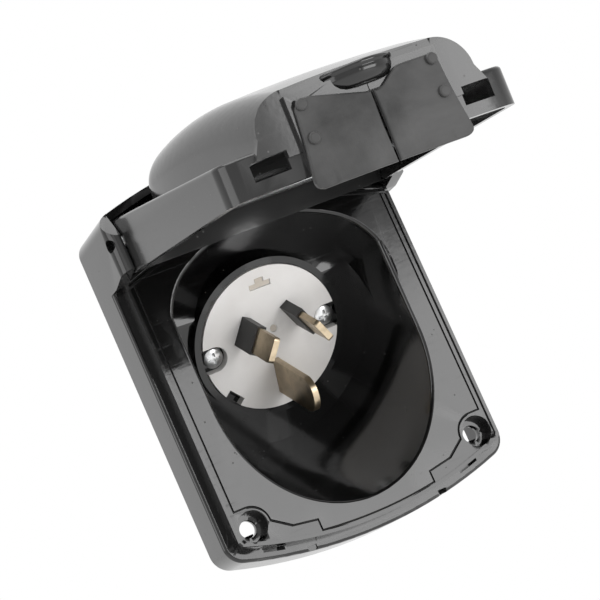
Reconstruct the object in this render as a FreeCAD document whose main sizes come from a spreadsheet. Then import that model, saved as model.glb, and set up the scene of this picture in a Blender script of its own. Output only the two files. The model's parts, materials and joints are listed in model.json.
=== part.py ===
import FreeCAD, Part
import math
import os
import Sketcher
from FreeCAD import Vector, Placement, Rotation

# Flush caravan / generator power inlet, 15 A flat pin, with a hinged lid and a split cord flap.
# Frame: millimetres, +Z up, -Y out of the wall towards the user, +X to the user's right.
# The origin is the centre of the four fixing holes, in the plane of the wall.
# The lid is modelled shut about its own hinge line, and its Placement opens it.

doc = FreeCAD.newDocument("power_inlet")
sheet = doc.addObject("Spreadsheet::Sheet", "dims")

SIZES = {
    # flange outline, seen from the front
    "half_width": 37.8,
    "apex": 47.8,
    "top_bow": 6.0,
    "bottom_bow": 6.2,
    "corner_round": 5.0,
    "top_corner": 4.0,
    "lip_round": 3.6,
    # depths from the wall
    "ledge_depth": 12.3,
    "face_depth": 16.4,
    "lip_depth": 17.0,
    "ear_depth": 26.6,
    "hood_depth": 22.5,
    "recess_depth": 14.0,
    "skin": 2.2,
    # lip and face
    "lip_inset": 2.4,
    "lip_width": 0.8,
    "face_top": 33.8,
    "ridge_width": 0.7,
    "ridge_step": 1.5,
    "ridge_depth": 16.9,
    "face_top_bow": 6.6,
    "ear_bottom": 26.3,
    "ear_rise": 1.8,
    "ear_inner": 34.7,
    "hood_skin": 1.6,
    # fixing holes
    "fixing_x": 30.5,
    "fixing_z": 36.0,
    "fixing_hole": 2.1,
    "fixing_sink": 3.75,
    "fixing_post": 5.2,
    "fixing_floor": 12.6,
    "fixing_web": 2.0,
    "fixing_back": 4.8,
    # well
    "well_half": 27.5,
    "well_sink": 1.0,
    "mouth_round": 0.9,
    "well_top": 30.5,
    "well_shoulder": 15.5,
    "well_floor": 0.5,
    "well_skin": 1.8,
    # inlet insert, in its own tilted frame
    "inlet_y": 3.72,
    "inlet_z": 5.64,
    "inlet_tilt": 31.6,
    "disc_radius": 18.3,
    "disc_thick": 2.2,
    "ring_radius": 20.2,
    "ring_proud": 0.5,
    "floor_back": 2.6,
    "neck_back": 17.0,
    "screw_x": 15.4,
    "screw_head": 2.55,
    "screw_notch": 3.2,
    "blade_width": 6.35,
    "blade_thick": 1.6,
    "blade_long": 17.06,
    "blade_x": 6.86,
    "blade_y": 3.96,
    "earth_width": 9.0,
    "earth_long": 20.0,
    "earth_y": 10.3,
    "earth_tip": 4.2,
    "sleeve_long": 8.4,
    "sleeve_wall": 0.45,
    "body_radius": 17.9,
    "body_back": 20.0,
    "stem_radius": 3.4,
    "stem_back": 27.0,
    "cover_radius": 19.6,
    "cover_back": 34.0,
    "cover_wall": 1.6,
    "cover_screw_x": 9.0,
    "cover_screw_y": 12.0,
    "gland_x": 8.5,
    "gland_bore": 5.0,
    # hinge
    "hinge_y": 24.6,
    "hinge_z": 34.9,
    "pin_radius": 1.5,
    "pin_half": 35.7,
    # lid, in its own shut frame about the hinge line
    "lid_open": 84.0,
    "lid_half": 34.3,
    "lid_end": 3.4,
    "lid_rim": 7.4,
    "lid_length": 82.4,
    "pad_high": 1.9,
    "pad_half": 17.6,
    "lid_bow": 4.4,
    "lid_wall": 2.0,
    "skirt_hinge": 13.2,
    "skirt_tip": 8.4,
    "seam_width": 0.45,
    "seal_width": 0.41,
    "lid_corner": 5.5,
    "flap_half": 17.4,
    "flap_fold": 12.6,
    "flap_thick": 1.2,
    "flap_below": 3.4,
    "flap_above": 16.4,
    "leaf_above": 13.2,
    "flap_lean": 3.0,
    "rivet_x": 15.1,
    "cord_half": 12.4,
    "cord_high": 12.0,
    "window_in": 20.6,
    "window_out": 28.4,
    "window_low": 2.7,
    "window_high": 6.6,
    "grip_half": 8.4,
    "grip_low": 13.8,
    "grip_high": 17.8,
    "grip_long": 5.2,
}
for row, (alias, value) in enumerate(SIZES.items(), start=1):
    sheet.set("A%d" % row, alias)
    sheet.set("B%d" % row, str(value))
    sheet.setAlias("B%d" % row, alias)
doc.recompute()

X_AXIS = Vector(1, 0, 0)
Y_AXIS = Vector(0, 1, 0)
Z_AXIS = Vector(0, 0, 1)
BIG = 200.0
subparts = []


def size(alias):
    """One driving dimension, read from the spreadsheet."""
    return float(getattr(sheet, alias))


def keep(obj, label):
    """Register an object of the document as a finished sub-part."""
    obj.Label = label
    subparts.append(obj)
    return obj


def feature(name, shape):
    """A document object that holds a shape built from the sheet's sizes."""
    obj = doc.addObject("Part::Feature", name)
    obj.Shape = shape
    return obj


def box(x0, x1, y0, y1, z0, z1):
    """A block between two corners."""
    corner = Vector(min(x0, x1), min(y0, y1), min(z0, z1))
    return Part.makeBox(abs(x1 - x0), abs(y1 - y0), abs(z1 - z0), corner)


def inlet_placement():
    """Where the tilted inlet frame lies (x right, y up the disc, z out along the pins)."""
    return Placement(Vector(0, size("inlet_y"), size("inlet_z")), Rotation(X_AXIS, 90 + size("inlet_tilt")))


def tilted(shape):
    """Turn a shape of the inlet frame into the object's frame."""
    moved = shape.copy()
    moved.Placement = inlet_placement().multiply(shape.Placement)
    return moved


def place_inlet(obj):
    """Put an object of the tilted inlet frame into the object's frame."""
    obj.Placement = inlet_placement()
    obj.setExpression("Placement.Base.y", "dims.inlet_y")
    obj.setExpression("Placement.Base.z", "dims.inlet_z")
    return obj


def place_lid(obj):
    """Put an object of the lid's shut frame at the hinge, swung open."""
    obj.Placement = Placement(Vector(0, -size("hinge_y"), size("hinge_z")),
                              Rotation(X_AXIS, -size("lid_open")))
    obj.setExpression("Placement.Base.y", "-dims.hinge_y")
    obj.setExpression("Placement.Base.z", "dims.hinge_z")
    return obj


# ---------------------------------------------------------------- PartDesign helpers

def body(label):
    """A PartDesign body, registered as a sub-part."""
    obj = doc.addObject("PartDesign::Body", label)
    return keep(obj, label)


def plane(owner, role):
    """One of a body's own origin planes, found by its role."""
    return [p for p in owner.Origin.OriginFeatures if p.Role == role][0]


def sketch(owner, name, role="XY_Plane", lift=0.0):
    """A sketch on an origin plane of its body, lifted along the plane's normal."""
    obj = owner.newObject("Sketcher::SketchObject", name)
    obj.AttachmentSupport = [(plane(owner, role), "")]
    obj.MapMode = "FlatFace"
    obj.AttachmentOffset = Placement(Vector(0, 0, lift), Rotation())
    return obj


def sketch_circle(obj, radius, x=0.0, y=0.0):
    """A circle whose radius follows an expression, at a fixed place."""
    index = obj.addGeometry(Part.Circle(Vector(x, y, 0), Z_AXIS, 1.0), False)
    constraint = obj.addConstraint(Sketcher.Constraint("Radius", index, 1.0))
    obj.setExpression("Constraints[%d]" % constraint, radius)
    obj.addConstraint(Sketcher.Constraint("DistanceX", -1, 1, index, 3, x))
    obj.addConstraint(Sketcher.Constraint("DistanceY", -1, 1, index, 3, y))


def sketch_loop(obj, points):
    """A closed chain of straight lines through the points."""
    corners = [Vector(x, y, 0) for x, y in points]
    for start, end in zip(corners, corners[1:] + corners[:1]):
        obj.addGeometry(Part.LineSegment(start, end), False)


def pad(owner, profile, length, back=False):
    """A pad whose length follows an expression."""
    obj = owner.newObject("PartDesign::Pad", profile.Name + "_pad")
    obj.Profile = profile
    obj.setExpression("Length", length)
    obj.Reversed = back
    doc.recompute()
    return obj


def pocket(owner, profile, length, back=False):
    """A pocket whose depth follows an expression, checked to remove material."""
    before = owner.Shape.Volume
    obj = owner.newObject("PartDesign::Pocket", profile.Name + "_pocket")
    obj.Profile = profile
    obj.setExpression("Length", length)
    obj.Reversed = back
    doc.recompute()
    if obj.Shape.Volume >= before - 1e-6:
        raise ValueError("pocket cut nothing: " + obj.Name)
    return obj


def revolve(owner, name, points):
    """A body of revolution about its own Z axis, from (radius, height) points."""
    profile = sketch(owner, name, "XZ_Plane")
    sketch_loop(profile, points)
    obj = owner.newObject("PartDesign::Revolution", name + "_turned")
    obj.Profile = profile
    obj.ReferenceAxis = (profile, ["V_Axis"])
    obj.Angle = 360
    doc.recompute()
    return obj


# ---------------------------------------------------------------- outlines

def bowed_face(half, top, top_bow, bottom, bottom_bow):
    """A face in the wall plane with straight sides and bowed ends; top and bottom are the apexes."""
    high = top - top_bow
    low = bottom + bottom_bow
    edges = [
        Part.makeLine(Vector(-half, 0, low), Vector(-half, 0, high)),
        Part.Arc(Vector(-half, 0, high), Vector(0, 0, top), Vector(half, 0, high)).toShape(),
        Part.makeLine(Vector(half, 0, high), Vector(half, 0, low)),
        Part.Arc(Vector(half, 0, low), Vector(0, 0, bottom), Vector(-half, 0, low)).toShape(),
    ]
    return Part.Face(Part.Wire(edges))


def along_y(shape):
    """The edges of a shape that run straight out of the wall."""
    found = []
    for edge in shape.Edges:
        if len(edge.Vertexes) == 2:
            run = edge.Vertexes[1].Point.sub(edge.Vertexes[0].Point)
            if abs(abs(run.y) - run.Length) < 1e-6 and run.Length > 1e-3:
                found.append(edge)
    return found


def slab(face, near, far):
    """A face of the wall plane made solid between two depths in front of the wall."""
    moved = face.copy()
    moved.translate(Vector(0, -near, 0))
    return moved.extrude(Vector(0, near - far, 0))


def flange_slab(inset, near, far):
    """The flange outline, drawn in by an inset, between two depths, with rounded corners."""
    face = bowed_face(size("half_width") - inset, size("apex") - inset, size("top_bow"),
                      inset - size("apex"), size("bottom_bow"))
    solid = slab(face, near, far)
    if inset:
        return solid.makeFillet(max(size("lip_round") - inset, 1.0), along_y(solid))
    solid = solid.makeFillet(size("corner_round"), [e for e in along_y(solid) if e.Vertexes[0].Z < 0])
    corners = [e for e in along_y(solid) if e.Vertexes[0].Z > 30 and abs(e.Vertexes[0].X) > 37]
    return solid.makeFillet(size("top_corner"), corners)


def well_top(grow, near, far):
    """The upper part of the well: straight sides and a low arched top, above the round bore."""
    half = size("well_half") + grow
    top = size("well_top") + grow
    shoulder = size("well_shoulder")
    turn = Vector(-0.72 * half, 0, top - 5.4)
    turn_right = Vector(0.72 * half, 0, top - 5.4)
    edges = [
        Part.makeLine(Vector(-half, 0, -60), Vector(half, 0, -60)),
        Part.makeLine(Vector(half, 0, -60), Vector(half, 0, shoulder)),
        Part.Arc(Vector(half, 0, shoulder), Vector(0.905 * half, 0, top - 10.0), turn_right).toShape(),
        Part.Arc(turn_right, Vector(0, 0, top), turn).toShape(),
        Part.Arc(turn, Vector(-0.905 * half, 0, top - 10.0), Vector(-half, 0, shoulder)).toShape(),
        Part.makeLine(Vector(-half, 0, shoulder), Vector(-half, 0, -60)),
    ]
    above_axis = tilted(Part.makeBox(160, 120, 200, Vector(-80, -size("well_sink"), -100)))
    return slab(Part.Face(Part.Wire(edges)), near, far).common(above_axis)


def well_bore(grow, back, far):
    """The round lower part of the well, which runs along the inlet axis out to a depth from the wall."""
    bore = tilted_cylinder(size("well_half") + grow, back, 70, size("well_sink"))
    return bore.common(box(-60, 60, 60, -far, -60, 60))


def below_top(drop):
    """The space under the bowed top of the raised face, drawn down by a drop."""
    bow = size("face_top_bow") * (60 / 34.0) ** 2
    return slab(bowed_face(60, size("face_top") - drop, bow, -80, 1.0), -50, 50)


def mouth_edges(solid):
    """The edges where the well meets the face."""
    face, found = size("face_depth"), []
    for edge in solid.Edges:
        span = edge.BoundBox
        flat = abs(span.YMin + face) < 1e-4 and abs(span.YMax + face) < 1e-4
        inside = max(abs(span.XMin), abs(span.XMax)) < size("well_half") + 0.05
        if flat and inside and span.ZMax < size("well_top") + 0.05 and span.ZMin > -41.5:
            found.append(edge)
    return found


def tilted_cylinder(radius, back, front, sink=0.0):
    """A cylinder along the inlet axis, or a little below it, from behind the disc's face to in front of it."""
    return tilted(Part.makeCylinder(radius, back + front, Vector(0, -sink, -back), Z_AXIS))


def seal_region(grow, near, far):
    """The area inside the lid seal, which passes inside the two lower fixing holes."""
    top = size("face_top") - (size("ridge_width") + size("ridge_step")) / 2
    solid = slab(bowed_face(33.3 + grow, top + grow, 5.9, -44.1 - grow, 4.8), near, far)
    for side in (-1, 1):
        corners = [(15.2 + grow, -60), (15.2 + grow, -40.4 - grow), (21.4 + grow, -39.4 - grow),
                   (26.3 + grow, -36 - grow), (30.5, -31.4 - grow), (60, -31.4 - grow), (60, -60)]
        points = [Vector(side * x, -near, z) for x, z in corners]
        block = Part.Face(Part.makePolygon(points + points[:1])).extrude(Vector(0, near - far, 0))
        around = rod(4.6 - grow, side * size("fixing_x"), -size("fixing_z"), near, far)
        solid = solid.cut(block.fuse(around))
    return solid


def seal_band(width, near, far):
    """A closed band of a given width along the seal's line, between two depths."""
    return seal_region(width / 2, near, far).cut(seal_region(-width / 2, near - 1, far + 1))


# ---------------------------------------------------------------- base housing

def fixing_points():
    """The four fixing hole centres, as x and z."""
    return [(sx * size("fixing_x"), sz * size("fixing_z")) for sx in (-1, 1) for sz in (-1, 1)]


def rod(radius, x, z, near, far):
    """A round rod square to the wall."""
    return Part.makeCylinder(radius, far - near, Vector(x, -near, z), Vector(0, -1, 0))


def make_base():
    """The one-piece moulding: flange, lip, ears, hood, well and inlet neck."""
    ledge, face, lip = size("ledge_depth"), size("face_depth"), size("lip_depth")
    lip_inset, skin = size("lip_inset"), size("skin")
    inner = size("ear_inner")

    flange = flange_slab(0, 0, ledge)
    front_edges = [e for e in flange.Edges if abs(e.BoundBox.YMin + ledge) < 1e-4
                   and abs(e.BoundBox.YMax + ledge) < 1e-4]
    flange = flange.makeFillet(0.8, front_edges)

    # the face stands inside a lip, with two bowed ridges along its top
    width, step = size("ridge_width"), size("ridge_step")
    raised = flange_slab(lip_inset, ledge - 1, lip).common(below_top(0))
    second = below_top(step).cut(below_top(step + width - 0.1))
    plate = flange_slab(lip_inset + size("lip_width"), face, lip + 1).common(below_top(width)).cut(second)
    raised = raised.cut(plate)
    # the ridges stand lower than the lip, to clear the lid's hinge end
    raised = raised.cut(box(-60, 60, -size("ridge_depth"), -lip - 1, size("ear_bottom") - 1, 60))

    hood = flange_slab(0, ledge - 1, size("ear_depth"))
    hood = hood.common(box(-60, 60, 0, -60, size("ear_bottom"), 60))
    rim = [e for e in hood.Edges if abs(e.BoundBox.YMin + size("ear_depth")) < 1e-4
           and abs(e.BoundBox.YMax + size("ear_depth")) < 1e-4
           and e.BoundBox.ZMax > size("ear_bottom") + 0.1]
    hood = hood.makeFillet(2.9, rim)
    recess = flange_slab(size("hood_skin"), size("recess_depth"), 60)
    recess = recess.common(box(-inner, inner, 0, -70, 0, 60))
    hood = hood.cut(recess)
    # the ears' undersides rise towards their fronts
    rise = [Vector(-60, -ledge, 20), Vector(-60, -lip, size("ear_bottom")),
            Vector(-60, -size("ear_depth") - 1, size("ear_bottom") + size("ear_rise")),
            Vector(-60, -size("ear_depth") - 1, 20)]
    hood = hood.cut(Part.Face(Part.makePolygon(rise + rise[:1])).extrude(Vector(120, 0, 0)))
    hood = hood.cut(box(-inner, inner, -size("hood_depth"), -60, 0, 60))
    slope = [Vector(-60, -size("ear_depth") - 1, 35.0), Vector(-60, -size("hood_depth"), 42.5),
             Vector(-60, -60, 60), Vector(-60, -60, 35.0)]
    hood = hood.cut(Part.Face(Part.makePolygon(slope + slope[:1])).extrude(Vector(120, 0, 0)))

    solid = flange.fuse(raised).fuse(hood)

    # the hollow behind the face, with a solid band for the wall gasket
    hollow = flange_slab(6.0, -1, ledge - skin)
    hollow = hollow.fuse(flange_slab(lip_inset + skin, 2.0, ledge - skin))
    hollow = hollow.fuse(flange_slab(lip_inset + skin, 2.0, face - skin).common(below_top(skin)))
    # the well: a straight upper part and a round bore along the inlet axis
    well_skin, floor = size("well_skin"), size("well_floor")
    shell = well_top(well_skin, -floor - well_skin, face - 0.5)
    shell = shell.fuse(well_bore(well_skin, size("floor_back") + well_skin, face - 0.5))
    shell = shell.fuse(tilted_cylinder(size("ring_radius") + well_skin, size("neck_back"), 0))
    solid = solid.cut(hollow).fuse(shell)

    fixing_floor, web = size("fixing_floor"), size("fixing_web")
    for x, z in fixing_points():
        depth = face - 0.2 if z < 0 else size("recess_depth") - 0.2
        solid = solid.fuse(rod(size("fixing_post"), x, z, fixing_floor - web, depth))

    boss = tilted_cylinder(size("ring_radius"), 40, -size("ring_proud"))
    mouth = well_top(0, -floor, lip + 5).fuse(well_bore(0, size("floor_back"), lip + 5))
    solid = solid.cut(mouth.cut(boss))
    solid = solid.makeFillet(size("mouth_round"), mouth_edges(solid))
    solid = solid.cut(tilted_cylinder(size("disc_radius") + 0.25, size("disc_thick"), 20))
    solid = solid.cut(tilted_cylinder(size("body_radius") - 0.9, size("disc_thick") + 2.4, 20))
    solid = solid.cut(tilted_cylinder(size("body_radius") + 0.3, 60, -size("disc_thick") - 2.3))
    # screw lugs reach in under the disc
    for side in (-1, 1):
        lug = Part.makeCylinder(3.4, 8.0, Vector(side * size("screw_x"), -0.3, -8.0 - size("disc_thick")), Z_AXIS)
        hole = Part.makeCylinder(1.5, 30.0, Vector(side * size("screw_x"), -0.3, -25.0), Z_AXIS)
        solid = solid.fuse(tilted(lug)).cut(tilted(hole))

    for x, z in fixing_points():
        # the screw passes through open space behind the web, and beside a lug at the back
        solid = solid.cut(rod(size("fixing_back"), x, z, -1, fixing_floor - web).common(flange_slab(2.9, -2, 20)))
        lug = rod(4.4, x, z, 0, 1.5).common(box(x - 6, x + 6, 1, -1.6, math.copysign(36.9, z), math.copysign(45, z)))
        solid = solid.fuse(lug)
        solid = solid.cut(rod(size("fixing_hole"), x, z, -5, 40))
        solid = solid.cut(rod(size("fixing_sink"), x, z, fixing_floor, 40))

    solid = solid.cut(seal_band(size("seam_width"), face - 0.9, face + 0.3))
    # latch slots in the ledge, and the drain notch and its shallow twin
    for side in (-1, 1):
        slot = flange_slab(1.5, ledge - 3, ledge + 1).cut(flange_slab(2.35, ledge - 4, ledge + 2))
        solid = solid.cut(slot.common(box(side * 24.0, side * 29.2, 0, -60, -60, 0)))
        deep = 2.6 if side > 0 else 0.4
        solid = solid.cut(box(side * 16.6, side * 18.9, -ledge + deep, -ledge - 1, -60, -45.2))
    # gasket groove in the back
    solid = solid.cut(flange_slab(0.9, -1, 1.6).cut(flange_slab(2.4, -2, 3)))
    # hinge pin holes: through on the left, blind on the right
    pin_hole = Part.makeCylinder(size("pin_radius") + 0.02, size("pin_half") + 0.1 + 60,
                                 Vector(-60, -size("hinge_y"), size("hinge_z")), X_AXIS)
    solid = solid.cut(pin_hole)
    return solid.removeSplitter()


base = keep(feature("base_housing", make_base()), "base_housing")


# the foam cord set in the back of the flange, outside the fixing holes
gasket = flange_slab(0.95, 0, 1.6).cut(flange_slab(2.35, -2, 3))
keep(feature("wall_gasket", gasket), "wall_gasket")
seal = seal_band(size("seal_width"), size("face_depth") - 0.88, size("face_depth") - 0.4)
keep(feature("lid_seal", seal), "lid_seal")

# ---------------------------------------------------------------- inlet insert

disc = body("inlet_disc")
disc_profile = sketch(disc, "disc_outline", lift=-size("disc_thick"))
sketch_circle(disc_profile, "dims.disc_radius")
pad(disc, disc_profile, "dims.disc_thick")


def loop_pocket(owner, name, points, depth, lift=0.0):
    """A pocket of straight lines, cut down from the disc's face."""
    profile = sketch(owner, name, lift=lift)
    sketch_loop(profile, points)
    return pocket(owner, profile, depth)


notch_half = size("screw_notch")
for side, word in ((-1, "left"), (1, "right")):
    notch = sketch(disc, "notch_" + word)
    sketch_circle(notch, "dims.screw_notch", side * size("screw_x"), -0.3)
    pocket(disc, notch, "dims.disc_thick")
    edge = side * (size("disc_radius") + 1)
    near = side * size("screw_x")
    loop_pocket(disc, "slot_" + word, [(near, -0.3 - notch_half), (edge, -0.3 - notch_half),
                                       (edge, -0.3 + notch_half), (near, -0.3 + notch_half)], "dims.disc_thick")
key_turn = math.radians(-137)


def key_point(along, across):
    """A point of the index notch, along and across the radius it sits on."""
    return (along * math.cos(key_turn) - across * math.sin(key_turn),
            along * math.sin(key_turn) + across * math.cos(key_turn))


loop_pocket(disc, "index_notch", [key_point(16.2, -2.3), key_point(19.5, -2.3),
                                  key_point(19.5, 2.3), key_point(16.2, 2.3)], "dims.disc_thick")
loop_pocket(disc, "mould_recess", [(-2.8, 13.2), (3.0, 13.2), (3.0, 14.6), (1.3, 14.6),
                                   (1.3, 15.8), (-1.1, 15.8), (-1.1, 14.6), (-2.8, 14.6)], "0.5")
centre_mark = sketch(disc, "centre_mark")
sketch_circle(centre_mark, "1.0", 1.2, 1.9)
pocket(disc, centre_mark, "0.3")


def blade_loop(width, thick, x, y, lean):
    """The corners of a flat pin's section, leaning from the vertical."""
    turn = math.radians(lean)
    corners = []
    for a, b in ((-0.5, -0.5), (0.5, -0.5), (0.5, 0.5), (-0.5, 0.5)):
        across, along = a * thick, b * width
        corners.append((x + across * math.cos(turn) + along * math.sin(turn),
                        y - across * math.sin(turn) + along * math.cos(turn)))
    return corners


PINS = (
    ("active_pin", size("blade_width"), size("blade_long"), -size("blade_x"), size("blade_y"), 30),
    ("neutral_pin", size("blade_width"), size("blade_long"), size("blade_x"), size("blade_y"), -30),
    ("earth_pin", size("earth_width"), size("earth_long"), 0.0, -size("earth_y"), 0),
)
thick = size("blade_thick")
for name, width, long, x, y, lean in PINS:
    fit = thick + (2 * size("sleeve_wall") if name != "earth_pin" else 0) + 0.1
    wide = width + (2 * size("sleeve_wall") if name != "earth_pin" else 0) + 0.1
    loop_pocket(disc, name + "_slot", blade_loop(wide, fit, x, y, lean), "dims.disc_thick")
place_inlet(disc)

for name, width, long, x, y, lean in PINS:
    pin = body(name)
    stem = sketch(pin, name + "_stem", lift=-size("stem_back"))
    sketch_circle(stem, "dims.stem_radius", x, y)
    pad(pin, stem, "dims.stem_back - dims.body_back + 6")
    blade = sketch(pin, name + "_blade", lift=-size("body_back"))
    sketch_loop(blade, blade_loop(width, thick, x, y, lean))
    obj = pad(pin, blade, "dims.body_back + dims.%s" % ("earth_long" if name == "earth_pin" else "blade_long"))
    tips = [i + 1 for i, e in enumerate(obj.Shape.Edges)
            if abs(e.BoundBox.ZMin - long) < 1e-3 and abs(e.BoundBox.ZMax - long) < 1e-3
            and e.Length < thick + 0.1]
    round_tip = pin.newObject("PartDesign::Fillet", name + "_tip")
    round_tip.Base = (obj, ["Edge%d" % i for i in tips])
    round_tip.Radius = size("earth_tip") if name == "earth_pin" else 0.9
    doc.recompute()
    wire_hole = sketch(pin, name + "_wire_hole", lift=-size("stem_back"))
    sketch_circle(wire_hole, "dims.stem_radius / 2", x, y)
    pocket(pin, wire_hole, "5.5", back=True)
    place_inlet(pin)

for name, width, long, x, y, lean in PINS[:2]:
    sleeve = body(name.replace("_pin", "_sleeve"))
    wall = size("sleeve_wall")
    outer = sketch(sleeve, name + "_sleeve_outer", lift=-size("disc_thick"))
    sketch_loop(outer, blade_loop(width + 2 * wall, thick + 2 * wall, x, y, lean))
    pad(sleeve, outer, "dims.sleeve_long + dims.disc_thick")
    inner = sketch(sleeve, name + "_sleeve_inner", lift=size("sleeve_long"))
    sketch_loop(inner, blade_loop(width + 0.02, thick + 0.02, x, y, lean))
    pocket(sleeve, inner, "dims.sleeve_long + dims.disc_thick")
    place_inlet(sleeve)


def cover_points():
    """The cover screws' centres in the inlet frame."""
    return [(side * size("cover_screw_x"), size("cover_screw_y")) for side in (-1, 1)]


def make_inlet_body():
    """The insulating block behind the disc that carries the three pins."""
    front = size("disc_thick") + 0.02
    solid = Part.makeCylinder(size("body_radius") - 1.2, 2.5, Vector(0, 0, -front - 2.5), Z_AXIS)
    solid = solid.fuse(Part.makeCylinder(size("body_radius"), size("body_back") - front - 2.5,
                                         Vector(0, 0, -size("body_back")), Z_AXIS))
    for side in (-1, 1):
        solid = solid.cut(Part.makeCylinder(3.7, 60, Vector(side * size("screw_x"), -0.3, -50), Z_AXIS))
        solid = solid.cut(box(side * size("screw_x"), side * 30, -4.0, 3.4, -50, 5))
    for name, width, long, x, y, lean in PINS:
        outline = blade_loop(width + 0.04, thick + 0.04, x, y, lean)
        corners = [Vector(a, b, -size("body_back") - 1) for a, b in outline]
        hole = Part.Face(Part.makePolygon(corners + corners[:1])).extrude(Vector(0, 0, 40))
        deep = Vector(x, y, -size("body_back") - 40 + 6.05)
        seat = Part.makeCylinder(size("stem_radius") + 0.05, 40, deep, Z_AXIS)
        solid = solid.cut(hole).cut(seat)
    for x, y in cover_points():
        solid = solid.cut(Part.makeCylinder(1.5, 6.4, Vector(x, y, -size("body_back") - 0.5), Z_AXIS))
    return solid


def rests(name, shape):
    """A tilted sub-part built from Part shapes in the inlet frame."""
    return keep(place_inlet(feature(name, shape)), name)


rests("inlet_body", make_inlet_body())


def pan_screw(head_radius, head_high, shank_radius, shank_long, x, y, z):
    """A cross-recess pan head screw pointing down the frame's Z axis, seated at height z."""
    dome = Part.makeSphere(head_radius * 1.9, Vector(x, y, z + head_high - head_radius * 1.9), Z_AXIS)
    head = Part.makeCylinder(head_radius, head_high, Vector(x, y, z), Z_AXIS).common(dome)
    solid = head.fuse(Part.makeCylinder(shank_radius, shank_long, Vector(x, y, z - shank_long), Z_AXIS))
    arm, slot = head_radius * 0.62, head_radius * 0.14
    for dx, dy in ((arm, slot), (slot, arm)):
        solid = solid.cut(box(x - dx, x + dx, y - dy, y + dy, z + head_high * 0.4, z + head_high + 1))
    return solid


head_seat = -size("disc_thick") + 0.02
rests("inlet_screws", Part.Compound([
    pan_screw(size("screw_head"), 1.7, 1.46, 8.5, side * size("screw_x"), -0.3, head_seat) for side in (-1, 1)]))


def terminal_screw(x, y):
    """A brass grub screw that enters a terminal stem from its side."""
    outward = Vector(x, y, 0)
    outward.normalize()
    start = Vector(x, y, -24.6).add(outward * 1.75)
    return Part.makeCylinder(1.2, 3.4, start, outward)


rests("terminal_screws", Part.Compound([terminal_screw(x, y) for n, w, l, x, y, lean in PINS]))


def make_rear_cover():
    """The cup that shuts off the terminals, with an outlet for the fixed wiring."""
    near, far = size("body_back") + 0.1, size("cover_back")
    wall = size("cover_wall")
    solid = Part.makeCylinder(size("cover_radius"), far - near, Vector(0, 0, -far), Z_AXIS)
    edge = [e for e in solid.Edges if abs(e.BoundBox.ZMax + far) < 1e-4]
    solid = solid.makeFillet(2.5, edge)
    solid = solid.cut(Part.makeCylinder(size("cover_radius") - wall, far - near - wall + 1,
                                        Vector(0, 0, -far + wall), Z_AXIS))
    for x, y in cover_points():
        solid = solid.fuse(Part.makeCylinder(2.6, far - near - 0.6, Vector(x, y, -far + 0.5), Z_AXIS))
        solid = solid.cut(Part.makeCylinder(1.55, 60, Vector(x, y, -60), Z_AXIS))
        solid = solid.cut(Part.makeCylinder(3.0, 1.2, Vector(x, y, -far), Z_AXIS))
    outlet = Part.makeCylinder(size("gland_bore") + 1.5, 20, Vector(size("gland_x"), 0, -far - 5), Z_AXIS)
    return solid.cut(outlet)


rests("rear_cover", make_rear_cover())


def flipped_screw(x, y):
    """A cover screw, its head on the back of the cover."""
    screw = pan_screw(2.7, 1.7, 1.46, 18.0, 0, 0, 0)
    screw.Placement = Placement(Vector(x, y, -size("cover_back") + 1.18), Rotation(X_AXIS, 180))
    return screw


rests("cover_screws", Part.Compound([flipped_screw(x, y) for x, y in cover_points()]))


def make_gland():
    """The rubber bush that the fixed wiring passes through."""
    far = size("cover_back")
    bore, wall = size("gland_bore"), size("cover_wall")
    points = [(bore - 1.4, -far - 3.2), (bore + 1.0, -far - 3.2), (bore + 3.0, -far - 0.04),
              (bore + 1.46, -far - 0.04), (bore + 1.46, -far + wall + 0.04), (bore + 2.6, -far + wall + 0.04),
              (bore + 2.6, -far + wall + 1.4), (bore - 1.4, -far + wall + 1.4)]
    middle = size("gland_x")
    outline = [Vector(middle + a, 0, b) for a, b in points + points[:1]]
    return Part.Face(Part.makePolygon(outline)).revolve(Vector(middle, 0, 0), Z_AXIS, 360)


rests("cord_gland", make_gland())

# ---------------------------------------------------------------- hinge

hinge_pin = body("hinge_pin")
half, radius = size("pin_half"), size("pin_radius")
revolve(hinge_pin, "pin_outline", [(0, -half), (radius - 0.3, -half), (radius, -half + 0.3),
                                   (radius, half - 0.3), (radius - 0.3, half), (0, half)])
hinge_pin.Placement = Placement(Vector(0, -size("hinge_y"), size("hinge_z")), Rotation(Y_AXIS, 90))
hinge_pin.setExpression("Placement.Base.y", "-dims.hinge_y")
hinge_pin.setExpression("Placement.Base.z", "dims.hinge_z")

# ---------------------------------------------------------------- lid


def lid_point(x, u, w):
    """Lid coordinates: u from the hinge end to the tip, w up from the rim."""
    return Vector(x, size("lid_rim") - w, size("lid_end") - u)


def lid_plan(grow, tip_grow, low, high):
    """The lid's plan outline with its bowed tip, between two heights above the rim."""
    half, length, bow = size("lid_half") + grow, size("lid_length") + tip_grow, size("lid_bow")
    edges = [
        Part.makeLine(lid_point(-half, length - bow, low), lid_point(-half, -grow, low)),
        Part.makeLine(lid_point(-half, -grow, low), lid_point(half, -grow, low)),
        Part.makeLine(lid_point(half, -grow, low), lid_point(half, length - bow, low)),
        Part.Arc(lid_point(half, length - bow, low), lid_point(0, length, low),
                 lid_point(-half, length - bow, low)).toShape(),
    ]
    solid = Part.Face(Part.Wire(edges)).extrude(Vector(0, low - high, 0))
    tips = [e for e in along_y(solid) if e.BoundBox.ZMax < 0]
    return solid.makeFillet(max(size("lid_corner") + min(grow, 0), 1.0), tips)


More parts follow.
